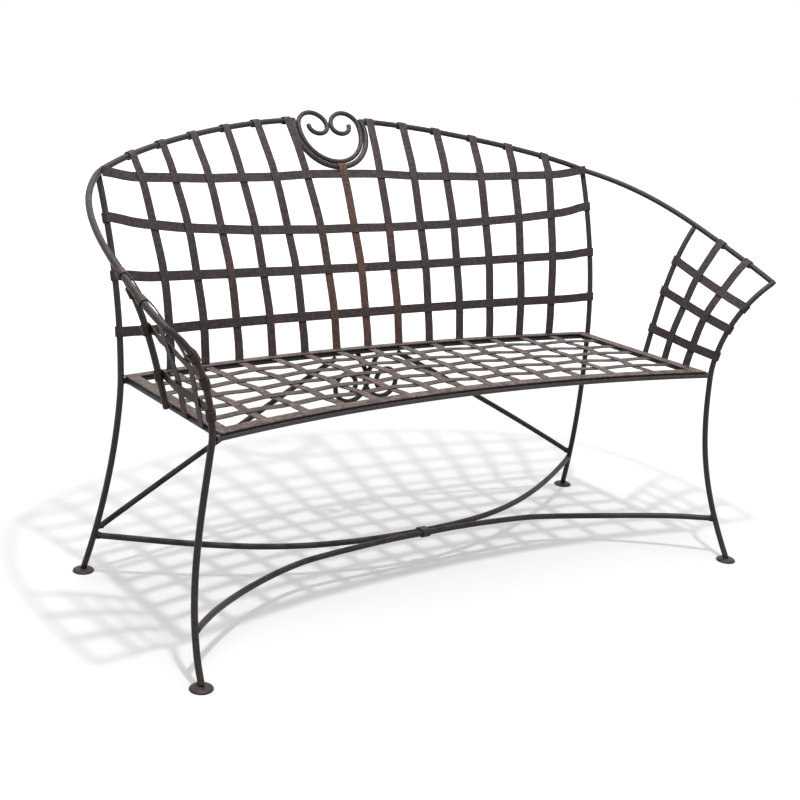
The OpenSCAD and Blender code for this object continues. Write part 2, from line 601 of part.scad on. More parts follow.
module collar() {
    color("#4b413e") to_origin() translate([-strap_w / 2, 0, stretcher_z]) rotate([90, 0, 90])
        difference() {
            linear_extrude(strap_w) polygon(stadium(bar_out + gap * 2 + strap_t));
            translate([0, 0, -1]) linear_extrude(strap_w + 2) polygon(stadium(bar_out + gap * 2));
        }
}

// Braces from the rear legs up to the rear bar
brace_out = brace_r * swell;
brace_top_x = 85;
brace_behind = 3;
brace_top = [brace_top_x, rear_y(brace_top_x) + brace_behind, bar_z - bar_r - gap - brace_out - 2 * gap];
brace_foot = rear_leg_at(brace_z);
brace_dir = unit(brace_top - brace_foot);
brace_start = brace_foot + brace_dir * (bar_out + gap + brace_r * 0.85);
brace_bow = [0, -3, 6];
brace_steps = 6;
brace_path = [for (k = [0:brace_steps])
    let (t = k / brace_steps) mix(brace_start, brace_top, t) + brace_bow * 4 * t * (1 - t)];
module brace(side) color("#2b2625") to_origin() both(side) bar(brace_path, brace_r, [0, 0, 1]);

// The pair of scrolls under the rear bar, each a short tail and a shrinking spiral
eye = [56, bar_z - 74.5];
eye_r = 24;
spiral_r = 61;
spiral_from = 156;
spiral_to = 600;
spiral_steps = 22;
tail = [[-24, 0], [-13, 21.5]];
function spiral(a) =
    let (r = mix(eye_r, spiral_r, pow((spiral_to - a) / (spiral_to - spiral_from), 3.2)))
    eye + r * [cos(a), sin(a)];
module seat_scroll(side) {
    y = rear_y(0) + side * (scroll_out + gap / 2);
    top = bar_z - bar_r - gap;
    line = concat([for (p = tail) [p[0], top - p[1]]],
        [for (k = [0:spiral_steps]) spiral(mix(spiral_from, spiral_to, k / spiral_steps))]);
    path = [for (p = line) [side * p[0], y, p[1]]];
    bar(path, scroll_r, [0, 1, 0], [0, 0, 1]);
}
module seat_scrolls() color("#2b2625") to_origin() {
    seat_scroll(1);
    seat_scroll(-1);
}

// The origin is under the middle of the whole bench
scroll_back = on_crest(0, lobe_v + lobe_r)[1] + scroll_r;
middle_y = (scroll_back - foot_y - foot_d / 2) / 2;

front_leg(-1);  // front_left_leg
front_leg(1);  // front_right_leg
rear_leg(-1);  // rear_left_leg
rear_leg(1);  // rear_right_leg
foot(-1, front_foot);  // front_left_foot
foot(1, front_foot);  // front_right_foot
foot(-1, rear_foot);  // rear_left_foot
foot(1, rear_foot);  // rear_right_foot
front_bar();  // front_seat_bar
rear_bar();  // rear_seat_bar
side_bar(-1);  // left_seat_bar
side_bar(1);  // right_seat_bar
front_flat();  // front_seat_flat
rear_flat();  // rear_seat_flat
side_flat(-1);  // left_seat_flat
side_flat(1);  // right_seat_flat
top_rail(-1);  // left_top_rail
top_rail(1);  // right_top_rail
crest_loop();
crest_scroll();
arm_post(-1);  // left_arm_post
arm_post(1);  // right_arm_post
arm_uprights(-1);  // left_arm_uprights
arm_uprights(1);  // right_arm_uprights
arm_crosses(-1);  // left_arm_crosses
arm_crosses(1);  // right_arm_crosses
front_stretcher();
rear_stretcher();
collar();  // stretcher_collar
brace(-1);  // left_brace
brace(1);  // right_brace
seat_scrolls();
for (i = [1:2 * straps + 1])
    back_upright(i - straps - 1);
for (m = [1:levels])
    back_level(m);
for (k = [1:3])
    for (m = k == 1 ? [1, 2] : k == 2 ? [3] : [4, 5]) seat_long(m);
for (k = [1:7])
    color("#463d3a") seated() for (i = k == 4 ? [0] : k < 4 ? [2 * k - 8, 2 * k - 7] : [2 * k - 9, 2 * k - 8])
            seat_cross(i);
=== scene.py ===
# %% [markdown]
# # Dressing a woven iron bench
# The bench is welded from round bar and flat strap, left to rust and then sealed, so it
# is dark, matt and a little rough all over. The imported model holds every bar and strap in
# its true place. This script rounds the bars, softens the straps' edges, lays the weld
# beads and gives the steel its patina. All lengths are in metres.

# %% Load the frame
import json
import math

import bmesh
import bpy
import numpy as np
from mathutils import Matrix, Vector, noise

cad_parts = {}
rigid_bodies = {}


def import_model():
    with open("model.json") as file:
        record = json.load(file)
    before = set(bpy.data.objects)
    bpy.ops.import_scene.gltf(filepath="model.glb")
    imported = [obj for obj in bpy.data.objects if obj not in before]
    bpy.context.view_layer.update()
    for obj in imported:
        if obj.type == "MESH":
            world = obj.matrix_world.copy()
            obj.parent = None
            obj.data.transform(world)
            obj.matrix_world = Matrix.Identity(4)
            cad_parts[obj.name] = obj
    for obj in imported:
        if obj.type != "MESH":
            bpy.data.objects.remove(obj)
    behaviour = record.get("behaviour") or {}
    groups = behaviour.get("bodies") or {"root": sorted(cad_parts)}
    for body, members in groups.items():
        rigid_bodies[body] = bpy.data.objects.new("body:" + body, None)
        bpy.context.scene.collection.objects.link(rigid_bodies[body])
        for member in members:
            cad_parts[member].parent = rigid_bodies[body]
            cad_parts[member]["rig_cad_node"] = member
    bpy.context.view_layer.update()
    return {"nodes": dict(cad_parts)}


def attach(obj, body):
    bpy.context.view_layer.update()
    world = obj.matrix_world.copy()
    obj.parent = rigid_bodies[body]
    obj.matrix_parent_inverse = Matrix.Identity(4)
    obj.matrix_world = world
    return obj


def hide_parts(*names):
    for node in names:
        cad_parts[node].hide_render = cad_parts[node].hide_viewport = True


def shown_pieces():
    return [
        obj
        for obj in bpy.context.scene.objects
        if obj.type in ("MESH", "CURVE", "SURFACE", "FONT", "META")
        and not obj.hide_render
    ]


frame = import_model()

MM = 0.001
nodes = frame["nodes"]

# %% [markdown]
# ## The camera
# A camera is matched to a photograph by its place, its direction and its lens. The bench
# was photographed from above its front left corner with a short telephoto lens, and the
# camera was rolled a few degrees. Setting the three axes of the camera one by one keeps all of
# that in plain sight, where a Track To constraint would lose the roll.

# %% Camera at the photograph's viewing angle
CAMERA_AT = Vector((-1.6489, -2.2489, 1.1504))
CAMERA_TURN = math.radians(-36.0)
CAMERA_DOWN = math.radians(16.03)
CAMERA_ROLL = math.radians(4.42)
LENS_MM = 59.92

camera_data = bpy.data.cameras.new("camera")
camera_data.lens = LENS_MM
camera_data.sensor_width = 36
camera_data.sensor_fit = "HORIZONTAL"
camera = bpy.data.objects.new("camera", camera_data)
bpy.context.scene.collection.objects.link(camera)
turn = Matrix.Rotation(CAMERA_TURN, 3, "Z")
tip = Matrix.Rotation(math.pi / 2 - CAMERA_DOWN, 3, "X")
roll = Matrix.Rotation(CAMERA_ROLL, 3, "Z")
camera.matrix_world = Matrix.Translation(CAMERA_AT) @ (turn @ tip @ roll).to_4x4()
bpy.context.scene.camera = camera
print("camera", tuple(round(x, 3) for x in CAMERA_AT), "lens", LENS_MM, "mm")

# %% [markdown]
# ## The middle line of a bar
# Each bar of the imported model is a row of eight-sided rings. The rings are found again by
# walking along the mesh: the flat end of the bar is the first ring, and every next ring
# holds the corners that the last one touches. Their centres are the bar's middle line.

# %% Read the rings of a bar
# Corners closer than this are one corner
SAME_CORNER = 0.02 * MM
CAD_SIDES = 8
# Faces lie in one plane when their normals differ by less than this angle
SAME_PLANE = 0.001
# Corners of a bar's end are about as far from its middle, those of a bar's side are not
END_SPREAD = 3


def welded(node):
    """The node's mesh as a bmesh whose split corners are joined again."""
    mesh = bmesh.new()
    mesh.from_mesh(nodes[node].data)
    bmesh.ops.remove_doubles(mesh, verts=mesh.verts, dist=SAME_CORNER)
    return mesh


def islands(mesh):
    """The faces of each separate bar in a mesh."""
    left = set(mesh.faces)
    while left:
        group, todo = set(), [min(left, key=lambda face: face.index)]
        while todo:
            face = todo.pop()
            if face not in group:
                group.add(face)
                todo.extend(other for edge in face.edges for other in edge.link_faces)
        left -= group
        yield group


def flat_end(faces):
    """The corners of one flat end of an eight-sided bar."""
    seen = set()
    for first in sorted(faces, key=lambda face: face.index):
        if first in seen:
            continue
        group, todo = {first}, [first]
        while todo:
            for edge in todo.pop().edges:
                for other in edge.link_faces:
                    if other not in group and other.normal.angle(first.normal, 1) < SAME_PLANE:
                        group.add(other)
                        todo.append(other)
        seen |= group
        corners = {corner for face in group for corner in face.verts}
        middle = sum((c.co for c in corners), Vector()) / len(corners)
        reach = [(c.co - middle).length for c in corners]
        if len(corners) == CAD_SIDES and max(reach) < END_SPREAD * min(reach):
            return corners
    return None


def bars_of(node):
    """For each bar in a node, its rings from end to end, each an array of eight points."""
    mesh = welded(node)
    found = []
    for faces in islands(mesh):
        ring = flat_end(faces)
        seen, rings = set(ring), []
        while ring:
            rings.append(np.array([corner.co for corner in ring]))
            beside = {edge.other_vert(corner) for corner in ring for edge in corner.link_edges}
            ring = beside - seen
            seen |= ring
        assert all(len(ring) == CAD_SIDES for ring in rings), node
        found.append(rings)
    mesh.free()
    return found


# %% [markdown]
# ## Round bars
# Bar stock is drawn round, but years of handling and a thick patina leave it slightly
# uneven. A curve object with a bevel would give a perfect tube. Here the rings are placed
# one by one along a smooth curve through the middle line, so that each can wander by a
# hair, and so that the ends can be cut at a mitre where two bars meet.

# %% A smooth line through the centres
RING_STEP = 9 * MM


def smooth_line(points, step=RING_STEP):
    """Points spaced by about step on a Catmull-Rom curve through the given ones."""
    points = np.array(points)
    first, last = 2 * points[0] - points[1], 2 * points[-1] - points[-2]
    row = np.vstack([first, points, last])
    line = []
    for a, b, c, d in zip(row, row[1:], row[2:], row[3:]):
        count = max(1, round(np.linalg.norm(c - b) / step))
        for t in np.arange(count) / count:
            line.append(0.5 * (2 * b + (c - a) * t + (2 * a - 5 * b + 4 * c - d) * t**2
                               + (3 * b - a - 3 * c + d) * t**3))
    return np.array(line + [points[-1]])


def directions(line):
    """The direction of travel at each point of a line."""
    ahead = np.vstack([line[1:], line[-1]]) - np.vstack([line[0], line[:-1]])
    return ahead / np.linalg.norm(ahead, axis=1)[:, None]


# %% Sweep a bar
BAR_SIDES = 16
UNEVEN = 0.018
UNEVEN_SIZE = 14 * MM
END_ROUND = 0.9 * MM
# A direction that no bar starts out in, to hang the first ring from
NO_BAR = [0.31, 0.2, 0.93]


def plane_normal(ring):
    """Square to the plane that best fits a ring of points."""
    return np.linalg.svd(ring - ring.mean(0))[2][2]


def swept(line, radius, cuts, sides=BAR_SIDES, uneven=UNEVEN):
    """Corners and faces of a bar along a line. Cuts are the planes of its two ends."""
    ahead = directions(line)
    side = np.cross(ahead[0], NO_BAR)
    corners, last = [], len(line) - 1
    for k, (middle, way) in enumerate(zip(line, ahead)):
        side = side - way * (side @ way)
        side = side / np.linalg.norm(side)
        up = np.cross(way, side)
        cut = cuts[0] if k == 0 else cuts[1] if k == last else way
        for angle in np.arange(sides) * 2 * math.pi / sides:
            out = math.cos(angle) * side + math.sin(angle) * up
            place = Vector((middle + out * radius) / UNEVEN_SIZE)
            reach = radius * (1 + uneven * noise.noise(place))
            if k in (0, last):
                reach -= min(END_ROUND, radius / 4)
            spot = out * reach
            corners.append(middle + spot - way * ((spot @ cut) / (way @ cut)))
    faces = [[k * sides + i, k * sides + (i + 1) % sides,
              (k + 1) * sides + (i + 1) % sides, (k + 1) * sides + i]
             for k in range(last) for i in range(sides)]
    faces.append(list(range(sides))[::-1])
    faces.append([last * sides + i for i in range(sides)])
    return corners, faces


def piece(name, corners, faces, slot, replaced=()):
    """A smooth-shaded mesh that rides on the bench. Its slot argument is not used."""
    mesh = bpy.data.meshes.new(name)
    mesh.from_pydata([tuple(c) for c in corners], [], faces)
    mesh.validate()
    mesh.shade_smooth()
    thing = bpy.data.objects.new(name, mesh)
    bpy.context.scene.collection.objects.link(thing)
    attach(thing, "root")
    if replaced:
        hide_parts(*replaced)
    return thing


# %% Round every swept bar
SAME_AREA = math.sqrt(CAD_SIDES * math.sin(2 * math.pi / CAD_SIDES) / (2 * math.pi))
BARS = [f"{end}_{side}_leg" for end in ("front", "rear") for side in ("left", "right")]
BARS += ["left_seat_bar", "right_seat_bar", "left_top_rail", "right_top_rail", "crest_loop"]
BARS += ["left_arm_post", "right_arm_post", "front_stretcher", "rear_stretcher"]
BARS += ["left_brace", "right_brace"]
SCROLLS = ["crest_scroll", "seat_scrolls"]
POSTS = ["rear_left_leg", "rear_right_leg"]
POST_INTO_RAIL = 9 * MM
# A ring this share of the way from the cut end to the next ring keeps the end crisp
CRISP = 0.15


def add_part(store, corners, faces):
    """Add corners and faces to a pair of lists that grow into one mesh."""
    base = len(store[0])
    store[0].extend(corners)
    store[1].extend([[i + base for i in face] for face in faces])


bars = []
for node in BARS + SCROLLS:
    store = ([], [])
    for rings in bars_of(node):
        centres = [ring.mean(0) for ring in rings]
        if node in POSTS:
            # The weld joins the top of the post to the rail
            top, below = (0, 1) if centres[0][2] > centres[-1][2] else (-1, -2)
            way = centres[top] - centres[below]
            centres[top] = centres[top] + way / np.linalg.norm(way) * POST_INTO_RAIL
        half = len(rings) // 2
        radius = np.linalg.norm(rings[half] - centres[half], axis=1).mean() * SAME_AREA
        line = smooth_line(centres, RING_STEP if node in BARS else RING_STEP / 2)
        cuts = [plane_normal(rings[0]), plane_normal(rings[-1])]
        near = [line[0] + (line[1] - line[0]) * CRISP, line[-1] + (line[-2] - line[-1]) * CRISP]
        line = np.vstack([line[0], near[0], line[1:-1], near[1], line[-1]])
        add_part(store, *swept(line, radius, cuts))
        bars.append((node, line, radius))
    piece(node + "_round", *store, "bars" if node in BARS else "scrolls", [node])
thickest = 2 * max(radius for _, _, radius in bars)
print(len(bars), "round bars, thickest", round(thickest / MM, 2), "mm")

# %% [markdown]
# ## Soft edges on the straps
# Hot-rolled strap has small round edges that catch the light. The straps keep their own
# nodes, because their shape is right. Three modifiers finish them without touching the
# mesh: a geometry node group joins the split corners and shades gentle bends smooth, a
# bevel rounds the long edges, and weighted normals keep the wide faces flat.

# %% A node group that shades gentle bends smooth
BEND = math.radians(40)


def shading_group():
    """Joins split corners and shades every bend gentler than BEND smooth."""
    group = bpy.data.node_groups.new("joined_and_smooth", "GeometryNodeTree")
    group.is_modifier = True
    group.interface.new_socket("Geometry", in_out="INPUT", socket_type="NodeSocketGeometry")
    group.interface.new_socket("Geometry", in_out="OUTPUT", socket_type="NodeSocketGeometry")
    add, link = group.nodes.new, group.links.new
    start, end = add("NodeGroupInput"), add("NodeGroupOutput")
    join, sharp = add("GeometryNodeMergeByDistance"), add("FunctionNodeCompare")
    angle = add("GeometryNodeInputMeshEdgeAngle")
    faces, edges = add("GeometryNodeSetShadeSmooth"), add("GeometryNodeSetShadeSmooth")
    join.inputs["Distance"].default_value = SAME_CORNER
    sharp.operation = "GREATER_THAN"
    sharp.inputs[1].default_value = BEND
    edges.domain = "EDGE"
    edges.inputs["Shade Smooth"].default_value = False
    link(start.outputs[0], join.inputs["Geometry"])
    link(join.outputs["Geometry"], faces.inputs["Geometry"])
    link(faces.outputs[0], edges.inputs["Geometry"])
    link(angle.outputs["Unsigned Angle"], sharp.inputs[0])
    link(sharp.outputs[0], edges.inputs["Selection"])
    link(edges.outputs[0], end.inputs[0])
    return group


# %% Finish every node that still shows
EDGE_ROUND, FLAT_ROUND = 0.5 * MM, 1.3 * MM
EDGE_STEPS = 3
smooth_bends = shading_group()
kept = [name for name in nodes if not nodes[name].hide_render]
for name in kept:
    thing = nodes[name]
    thing.modifiers.new("joined", "NODES").node_group = smooth_bends
    edge = thing.modifiers.new("edges", "BEVEL")
    edge.width = FLAT_ROUND if name.endswith("_flat") else EDGE_ROUND
    edge.segments = EDGE_STEPS
    edge.limit_method = "ANGLE"
    edge.angle_limit = BEND
    thing.modifiers.new("normals", "WEIGHTED_NORMAL")
print("softened", len(kept), "nodes")

# %% [markdown]
# ## Weld beads
# Every joint is welded by hand. Where a bar ends against a round bar, a lumpy fillet starts
# on the first and runs out onto the one that carries it. Any other bar's end gets a bead
# round it, and a back strap that stands on the flat frame gets one along each side. A bead
# is a short swept bar whose thickness swells and shrinks in small ripples. Sculpting could
# do the same, but a line and a few numbers can be changed for all the joints at once.

# %% A rippled bead along a line
RIPPLE = 2.6 * MM
BEAD_SIDES = 8
# How much a bead swells with each ripple and with each lump, and how thin its ends are
RIPPLE_SWELL, LUMP_SWELL, LUMP_SIZE = 0.12, 0.35, 5 * MM
END_TAPER = 0.45
RING_POINTS = 14
# A direction that no weld runs in, to start each ring of a weld from
NO_WELD = [0.1, 0.2, 0.97]


def bead(line, size):
    """Corners and faces of a lumpy bead of weld along a line."""
    line = smooth_line(line, RIPPLE / 2)
    ahead = directions(line)
    corners, faces = swept(line, size, [ahead[0], ahead[-1]], sides=BEAD_SIDES, uneven=0)
    travelled = 0
    for k in range(len(line)):
        travelled += np.linalg.norm(line[k] - line[k - 1]) if k else 0
        wave = RIPPLE_SWELL * math.sin(2 * math.pi * travelled / RIPPLE)
        lump = LUMP_SWELL * noise.noise(Vector(line[k]) / LUMP_SIZE)
        taper = END_TAPER if k in (0, len(line) - 1) else 1
        for i in range(BEAD_SIDES * k, BEAD_SIDES * (k + 1)):
            corners[i] = line[k] + (corners[i] - line[k]) * taper * (1 + wave + lump)
    return corners, faces


def across(way):
    """Two directions square to a way and to each other."""
    side = np.cross(way, NO_WELD)
    side = side / np.linalg.norm(side)
    return side, np.cross(way, side)


def ring_line(middle, way, reach):
    """Points of a ring round a direction."""
    side, up = across(way)
    angles = np.linspace(0, 2 * math.pi, RING_POINTS)
    return [middle + reach * (math.cos(a) * side + math.sin(a) * up) for a in angles]


# %% A fillet between the end of a bar and the bar that carries it
FILLET_SIDES = 24
# Rings of the fillet: how far back from the end, and how far out from the bar's surface
ALONG_BAR = [(6.0, -0.4), (5.2, 0.3), (2.0, 1.3)]
# Rings on the carrying bar: how far out from the small bar, and above the carrier's surface
ON_CARRIER = [(2.6, 0.5), (2.2, -0.8)]
FILLET_LUMP, FILLET_LUMP_SIZE = 0.5 * MM, 4 * MM


def carrier_of(node, point):
    """The bar of another node whose middle line passes nearest to a point."""
    others = [(np.linalg.norm(line - point, axis=1).min(), k)
              for k, (name, line, _) in enumerate(bars) if name != node]
    return bars[min(others)[1]]


def fillet(point, way, radius, carrier):
    """Corners and faces of a lumpy weld round a bar's end, laid onto its carrier."""
    _, line, carrier_radius = carrier
    near = int(np.linalg.norm(line - point, axis=1).argmin())
    axis = directions(line)[near]
    side, up = across(way)
    corners = []
    for angle in np.arange(FILLET_SIDES) * 2 * math.pi / FILLET_SIDES:
        out = math.cos(angle) * side + math.sin(angle) * up
        for back, rise in ALONG_BAR:
            spot = point - way * back * MM + out * (radius + rise * MM)
            lump = noise.noise(Vector(spot) / FILLET_LUMP_SIZE) * FILLET_LUMP if rise > 0 else 0
            corners.append(spot + out * lump)
        for rise, above in ON_CARRIER:
            spot = point + out * (radius + rise * MM)
            from_axis = spot - line[near]
            foot = line[near] + axis * (from_axis @ axis)
            away = (spot - foot) / np.linalg.norm(spot - foot)
            corners.append(foot + away * (carrier_radius + above * MM))
    rows = len(ALONG_BAR) + len(ON_CARRIER)
    faces = []
    for k in range(FILLET_SIDES):
        a, b = k * rows, (k + 1) % FILLET_SIDES * rows
        faces.extend([a + i, a + i + 1, b + i + 1, b + i] for i in range(rows - 1))
    faces.append([k * rows for k in range(FILLET_SIDES)])
    faces.append([k * rows + rows - 1 for k in range(FILLET_SIDES)][::-1])
    return corners, faces


# %% Weld the bars that end on another
WELDED_BARS = ("_seat_bar", "_stretcher", "_brace")
BEAD = 1.5 * MM
# A bar ends on a round bar if that one's surface is no further off than this
TOUCH = 6 * MM
# A bead round a bar's end lies this far back from it, and sinks this far into it
BEAD_BACK, BEAD_SINK = 0.4 * MM, 0.2 * MM
# Each end of a line, and the ring from which its direction is taken
ENDS = [(0, 3), (-1, -4)]

joints = ([], [])
for name, line, radius in [bar for bar in bars if bar[0].endswith(WELDED_BARS)]:
    for end, inside in ENDS:
        point, way = line[end], line[end] - line[inside]
        way = way / np.linalg.norm(way)
        carrier = carrier_of(name, point)
        gap = np.linalg.norm(carrier[1] - point, axis=1).min()
        if gap < carrier[2] + TOUCH:
            add_part(joints, *fillet(point, way, radius, carrier))
            print(name, "is welded to", carrier[0])
        else:
            ring = ring_line(point - way * BEAD_BACK, way, radius - BEAD_SINK)
            add_part(joints, *bead(ring, BEAD))
            print(name, "has a bead round its end")
piece("welds_bars", *joints, "bars")

# %% Beads at the feet of the back's straps
# Corners this close to a strap's lowest point belong to its foot
FOOT = 0.2 * MM
FOOT_DIGITS = 5
HALF_BEAD = 9.5 * MM
BEAD_OUT = 2 * MM

foot_beads = ([], [])
uprights = [name for name in sorted(nodes) if name.startswith("back_upright_")]
for name in uprights:
    points = np.array([v.co for v in nodes[name].data.vertices])
    low = points[points[:, 2] < points[:, 2].min() + FOOT]
    low = np.unique(low.round(FOOT_DIGITS), axis=0)
    middle = low.mean(0)
    width = np.linalg.svd(low - middle)[2][0]
    depth = np.cross(width, [0, 0, 1])
    for face in (-1, 1):
        start = middle + face * depth * BEAD_OUT
        line = [start - width * HALF_BEAD, start, start + width * HALF_BEAD]
        add_part(foot_beads, *bead(line, BEAD))
piece("welds_back_feet", *foot_beads, "back_straps")
print("two beads at the foot of each of", len(uprights), "straps")

# %% [markdown]
# ## The patina
# The steel has rusted evenly and was then sealed, which leaves a dark brown-grey skin with
# finer speckles and drifts of redder rust. Faces that look up are painted paler, in patches:
# this is painted top light. Noise textures in the bench's own coordinates run on from piece
# to piece, as weather does.

# %% Colours of the steel
def from_screen(red, green, blue):
    """A colour as it is picked on a screen, in the linear values that shaders use."""
    return [((c / 255 + 0.055) / 1.055) ** 2.4 for c in (red, green, blue)] + [1]


DARK = from_screen(56, 51, 54)
WARM = from_screen(86, 77, 78)
RUST = from_screen(116, 80, 66)
# Paler colour painted on faces that look up: painted top light
PAINTED_TOP_LIGHT = from_screen(128, 111, 102)
PIT = from_screen(22, 18, 18)
GRAIN = from_screen(150, 132, 124)
print("six colours, from pits to bloom")

# %% [markdown]
# Four noises of different grain carry the patina. The widest decides where rust drifts, and
# the finest makes pits and grains. Each becomes a share that grows between two of its
# values, and that share blends one colour over another. Two bumps roughen the surface. An
# image of rust would have to be laid out on every bar and would repeat, which noise avoids.

# %% Steel with a rusted and sealed skin
# Scale, detail and roughness of each noise
DRIFT, PATCH = (9, 4, 0.6), (34, 3, 0.6)
MOTTLE, SPECKLE = (120, 6, 0.7), (620, 3, 0.65)
# The two values of a noise between which a share grows, and the share at each of them
WARM_SHARE = (0.36, 0.64, 0, 1)
RUST_SHARE = (0.38, 0.6, 0.15, 1)
# Patches and grain of the painted top light
PAINTED_TOP_LIGHT_PATCH = (0.38, 0.56, 0.3, 1)
PAINTED_TOP_LIGHT_SHARE = (0.42, 0.56, 0.05, 1)
PIT_SHARE = (0.56, 0.66, 0, 0.75)
GRAIN_SHARE = (0.42, 0.34, 0, 0.4)
# The two values of the drift when no rust is asked for, and how much lower for all rust
DRIFT_FROM, DRIFT_TO = (0.66, 0.38), (0.80, 0.32)
MOST_RUST = 0.85
# How far up a face must look to take the painted top light
FACES_UP = (0.5, 0.95)
# Roughness at two values of the mottle
ROUGH = (0.35, 0.65, 0.38, 0.58)
# Strength and depth of each bump
PIT_BUMP, WAVE_BUMP = (0.45, 0.25 * MM), (0.5, 0.7 * MM)


def set_range(node, numbers):
    """Set where a Map Range node starts and ends. Its results go from 0 to 1 unless given."""
    for socket, number in zip(("From Min", "From Max", "To Min", "To Max"), numbers):
        node.inputs[socket].default_value = number


def patina(name, rust=0.0, top_light=0.5, tone=1.0, shine=0.12, from_z=-1.0, to_z=-0.9):
    """Rusted steel. Rust is the share of redder drifts, which grow between the heights
    from_z and to_z. The argument after rust sets the painted top light: a paler colour on the
    faces that look up, in place of light from above."""
    material = bpy.data.materials.new(name)
    material.use_nodes = True
    tree = material.node_tree
    add, link = tree.nodes.new, tree.links.new
    shader = tree.nodes["Principled BSDF"]
    place = add("ShaderNodeTexCoord").outputs["Object"]

    def cloud(scale, detail, rough):
        node = add("ShaderNodeTexNoise")
        node.inputs["Scale"].default_value = scale
        node.inputs["Detail"].default_value = detail
        node.inputs["Roughness"].default_value = rough
        link(place, node.inputs["Vector"])
        return node.outputs["Fac"]

    def between(value, *numbers):
        node = add("ShaderNodeMapRange")
        set_range(node, numbers)
        link(value, node.inputs["Value"])
        return node.outputs["Result"]

    def blend(share, under, over):
        node = add("ShaderNodeMix")
        node.data_type = "RGBA"
        link(share, node.inputs["Factor"])
        for socket, colour in ((node.inputs["A"], under), (node.inputs["B"], over)):
            if isinstance(colour, list):
                socket.default_value = colour
            else:
                link(colour, socket)
        return node.outputs["Result"]

    def times(a, b):
        node = add("ShaderNodeMath")
        node.operation = "MULTIPLY"
        link(a, node.inputs[0])
        link(b, node.inputs[1])
        return node.outputs[0]

    def toned(colour):
        return [c * tone for c in colour[:3]] + [1]

    drift, patch, mottle, speckle = (cloud(*grain) for grain in (DRIFT, PATCH, MOTTLE, SPECKLE))
    skin = blend(between(mottle, *WARM_SHARE), toned(DARK), toned(WARM))
    height = add("ShaderNodeSeparateXYZ")
    link(place, height.inputs[0])
    drift_from, drift_to = (value - lower * rust for value, lower in (DRIFT_FROM, DRIFT_TO))
    rusty = between(drift, drift_from, drift_to, 0, MOST_RUST)
    rusty = times(rusty, between(height.outputs["Z"], from_z, to_z))
    skin = blend(times(rusty, between(mottle, *RUST_SHARE)), skin, toned(RUST))
    normal = add("ShaderNodeSeparateXYZ")
    link(add("ShaderNodeNewGeometry").outputs["Normal"], normal.inputs[0])
    # Painted top light: faces that look up are made paler, in patches, in place of light from
    # above
    top_light_mask = between(normal.outputs["Z"], *FACES_UP, 0, top_light)
    top_light_mask = times(top_light_mask, between(patch, *PAINTED_TOP_LIGHT_PATCH))
    skin = blend(times(top_light_mask, between(mottle, *PAINTED_TOP_LIGHT_SHARE)), skin, toned(PAINTED_TOP_LIGHT))
    skin = blend(between(speckle, *PIT_SHARE), skin, toned(PIT))
    skin = blend(between(speckle, *GRAIN_SHARE), skin, toned(GRAIN))
    link(skin, shader.inputs["Base Color"])
    link(between(mottle, *ROUGH), shader.inputs["Roughness"])
    shader.inputs["Specular IOR Level"].default_value = shine
    pits, waves = add("ShaderNodeBump"), add("ShaderNodeBump")
    for bump, grain, (strength, depth) in ((pits, speckle, PIT_BUMP), (waves, mottle, WAVE_BUMP)):
        bump.inputs["Strength"].default_value = strength
        bump.inputs["Distance"].default_value = depth
        link(grain, bump.inputs["Height"])
    link(waves.outputs["Normal"], pits.inputs["Normal"])
    link(pits.outputs["Normal"], shader.inputs["Normal"])
    return material


# %% Give each piece its finish
steel = patina("steel_bars", top_light=0.5, tone=0.57, shine=0.28)
crest_steel = patina("steel_crest", rust=0.55, top_light=0.55, tone=0.64, shine=0.28,
                     from_z=0.87, to_z=0.81)
# Painted shade under the seat: the braces and seat scrolls get a darker copy of the steel with
# little paleness on top
shaded_under_steel = patina("steel_under", top_light=0.2, tone=0.42, shine=0.2)
# Painted light: the front seat bar gets a lighter, shinier copy of the steel, standing in for the
# highlight along its upper front
lit_edge_steel = patina("steel_seat_edge", top_light=0.6, tone=1.05, shine=0.35)
strap_steel = patina("steel_straps", rust=0.12, top_light=0.4, tone=0.95)
right_arm_steel = patina("steel_right_arm", rust=0.12, top_light=0.4, tone=0.85)
# The seat's cross straps and flats get the strongest painted top light, its long straps less
seat_steel = patina("steel_seat", rust=0.25, top_light=1.0, tone=1.07)
long_steel = patina("steel_seat_long", rust=0.1, top_light=0.6, tone=0.98)
weld_steel = patina("steel_welds", rust=0.4, top_light=0.2, tone=0.68)
leg_steel = patina("steel_left_leg", rust=0.75, top_light=0.5, tone=0.61, shine=0.25,
                   from_z=0.34, to_z=0.46)
arm_steel = patina("steel_left_arm", rust=0.5, top_light=0.6, tone=1.0)
rusty_steel = patina("steel_rusty", rust=0.95, top_light=0.3, tone=1.02)
rusty_below = patina("steel_rusty_below", rust=0.8, top_light=0.3, tone=0.98,
                     from_z=0.74, to_z=0.62)

FINISH = {
    "back_upright_7": rusty_steel, "back_upright_8": rusty_below,
    "back_upright_3": rusty_below, "back_upright_6": rusty_below,
    "front_left_leg": leg_steel, "left_arm_uprights": arm_steel, "left_arm_crosses": arm_steel,
}
# For every other piece, the first of these that is part of its name decides
KINDS = [
    ("welds", weld_steel), ("_brace", shaded_under_steel), ("seat_scr", shaded_under_steel),
    ("front_seat_bar", lit_edge_steel), ("seat_long", long_steel), ("seat_cross", seat_steel),
    ("_flat", seat_steel), ("back_", strap_steel), ("crest_", crest_steel),
    ("right_arm_upr", right_arm_steel), ("right_arm_cro", right_arm_steel),
]
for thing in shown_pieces():
    name = thing.get("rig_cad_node", thing.name.replace("_round", ""))
    kinds = [finish for part, finish in KINDS if part in name]
    thing.data.materials.clear()
    thing.data.materials.append(FINISH.get(name, (kinds + [steel])[0]))

